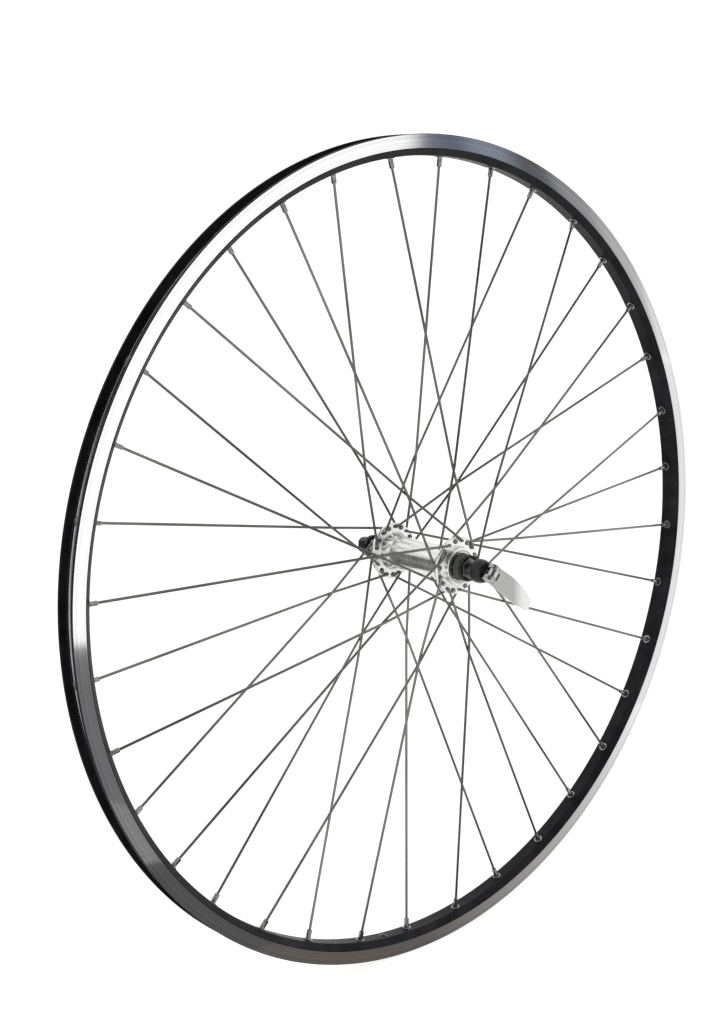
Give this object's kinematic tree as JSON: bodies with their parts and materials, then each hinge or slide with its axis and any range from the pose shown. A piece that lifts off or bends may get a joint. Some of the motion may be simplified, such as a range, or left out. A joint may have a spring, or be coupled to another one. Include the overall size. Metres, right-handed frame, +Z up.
{
  "type": "bicycle wheel",
  "caption": "Spoked front bicycle wheel with a black double-wall rim, bright brake tracks, a polished hub, crossed wire spokes and a cam-lever quick release; carries a tyre between fork ends.",
  "frame": {"origin": "centre of the wheel, on the axle's axis, midway between the hub flanges", "axes": "+Y along the axle towards the adjusting nut, so the lever is at -Y; +Z up; +X to the right as seen from the lever's side"},
  "size_m": [0.6339, 0.1478, 0.634],
  "materials": {
    "rim_alloy": "satin",
    "hub_alloy": "polished",
    "spoke_steel": "satin",
    "nipple_plate": "polished",
    "eyelet_steel": "polished",
    "bearing_steel": "polished",
    "boot_rubber": "matte",
    "axle_steel": "satin",
    "skewer_steel": "satin",
    "black_alloy": "satin",
    "lever_alloy": "satin"
  },
  "bodies": {
    "axle_set": {"axle": "axle_steel", "near_cone": "bearing_steel", "far_cone": "bearing_steel", "near_boot": "boot_rubber", "far_boot": "boot_rubber", "near_lock_washer": "axle_steel", "far_lock_washer": "axle_steel", "near_locknut": "axle_steel", "far_locknut": "axle_steel"},
    "wheel": {"rim": "rim_alloy", "hub_shell": "hub_alloy", "nipples": "nipple_plate", "eyelets": "eyelet_steel", "near_bearing_cup": "bearing_steel", "far_bearing_cup": "bearing_steel", "spoke_01": "spoke_steel", "spoke_02": "spoke_steel", "spoke_03": "spoke_steel", "spoke_04": "spoke_steel", "spoke_05": "spoke_steel", "spoke_06": "spoke_steel", "spoke_07": "spoke_steel", "spoke_08": "spoke_steel", "spoke_09": "spoke_steel", "spoke_10": "spoke_steel", "spoke_11": "spoke_steel", "spoke_12": "spoke_steel", "spoke_13": "spoke_steel", "spoke_14": "spoke_steel", "spoke_15": "spoke_steel", "spoke_16": "spoke_steel", "spoke_17": "spoke_steel", "spoke_18": "spoke_steel", "spoke_19": "spoke_steel", "spoke_20": "spoke_steel", "spoke_21": "spoke_steel", "spoke_22": "spoke_steel", "spoke_23": "spoke_steel", "spoke_24": "spoke_steel", "spoke_25": "spoke_steel", "spoke_26": "spoke_steel", "spoke_27": "spoke_steel", "spoke_28": "spoke_steel", "spoke_29": "spoke_steel", "spoke_30": "spoke_steel", "spoke_31": "spoke_steel", "spoke_32": "spoke_steel", "spoke_33": "spoke_steel", "spoke_34": "spoke_steel", "spoke_35": "spoke_steel", "spoke_36": "spoke_steel"},
    "near_balls": {"near_bearing_balls": "bearing_steel"},
    "far_balls": {"far_bearing_balls": "bearing_steel"},
    "clamp_housing": {"cam_housing": "black_alloy", "near_spring": "skewer_steel"},
    "rod": {"skewer_rod": "skewer_steel", "far_spring": "skewer_steel"},
    "cam_lever": {"lever": "lever_alloy", "pivot_pin": "skewer_steel"},
    "clamp_nut": {"adjusting_nut": "black_alloy"}
  },
  "joints": [
    {"name": "wheel_spin", "type": "hinge", "parent": "axle_set", "child": "wheel", "pos_m": [0, 0, 0], "axis": [0, 1, 0], "continuous": true},
    {"name": "near_ball_orbit", "type": "hinge", "parent": "axle_set", "child": "near_balls", "pos_m": [0, 0, 0], "axis": [0, 1, 0], "continuous": true},
    {"name": "far_ball_orbit", "type": "hinge", "parent": "axle_set", "child": "far_balls", "pos_m": [0, 0, 0], "axis": [0, 1, 0], "continuous": true},
    {"name": "skewer_turn", "type": "hinge", "parent": "axle_set", "child": "clamp_housing", "pos_m": [0, 0, 0], "axis": [0, 1, 0], "continuous": true},
    {"name": "rod_draw", "type": "slide", "parent": "clamp_housing", "child": "rod", "axis": [0, 1, 0], "range_m": [0, 0.0024]},
    {"name": "lever_flip", "type": "hinge", "parent": "rod", "child": "cam_lever", "pos_m": [0, -0.073, 0], "axis": [-0.6293, 0, -0.7771], "range_deg": [0, 180]},
    {"name": "nut_turn", "type": "hinge", "parent": "rod", "child": "clamp_nut", "pos_m": [0, 0.0635, 0], "axis": [0, 1, 0], "continuous": true}
  ],
  "couplings": [
    {"joint": "near_ball_orbit", "follows": "wheel_spin", "ratio": 0.6079},
    {"joint": "far_ball_orbit", "follows": "wheel_spin", "ratio": 0.6079},
    {"joint": "lever_flip", "follows": "rod_draw", "rad_per_m": 1309}
  ]
}
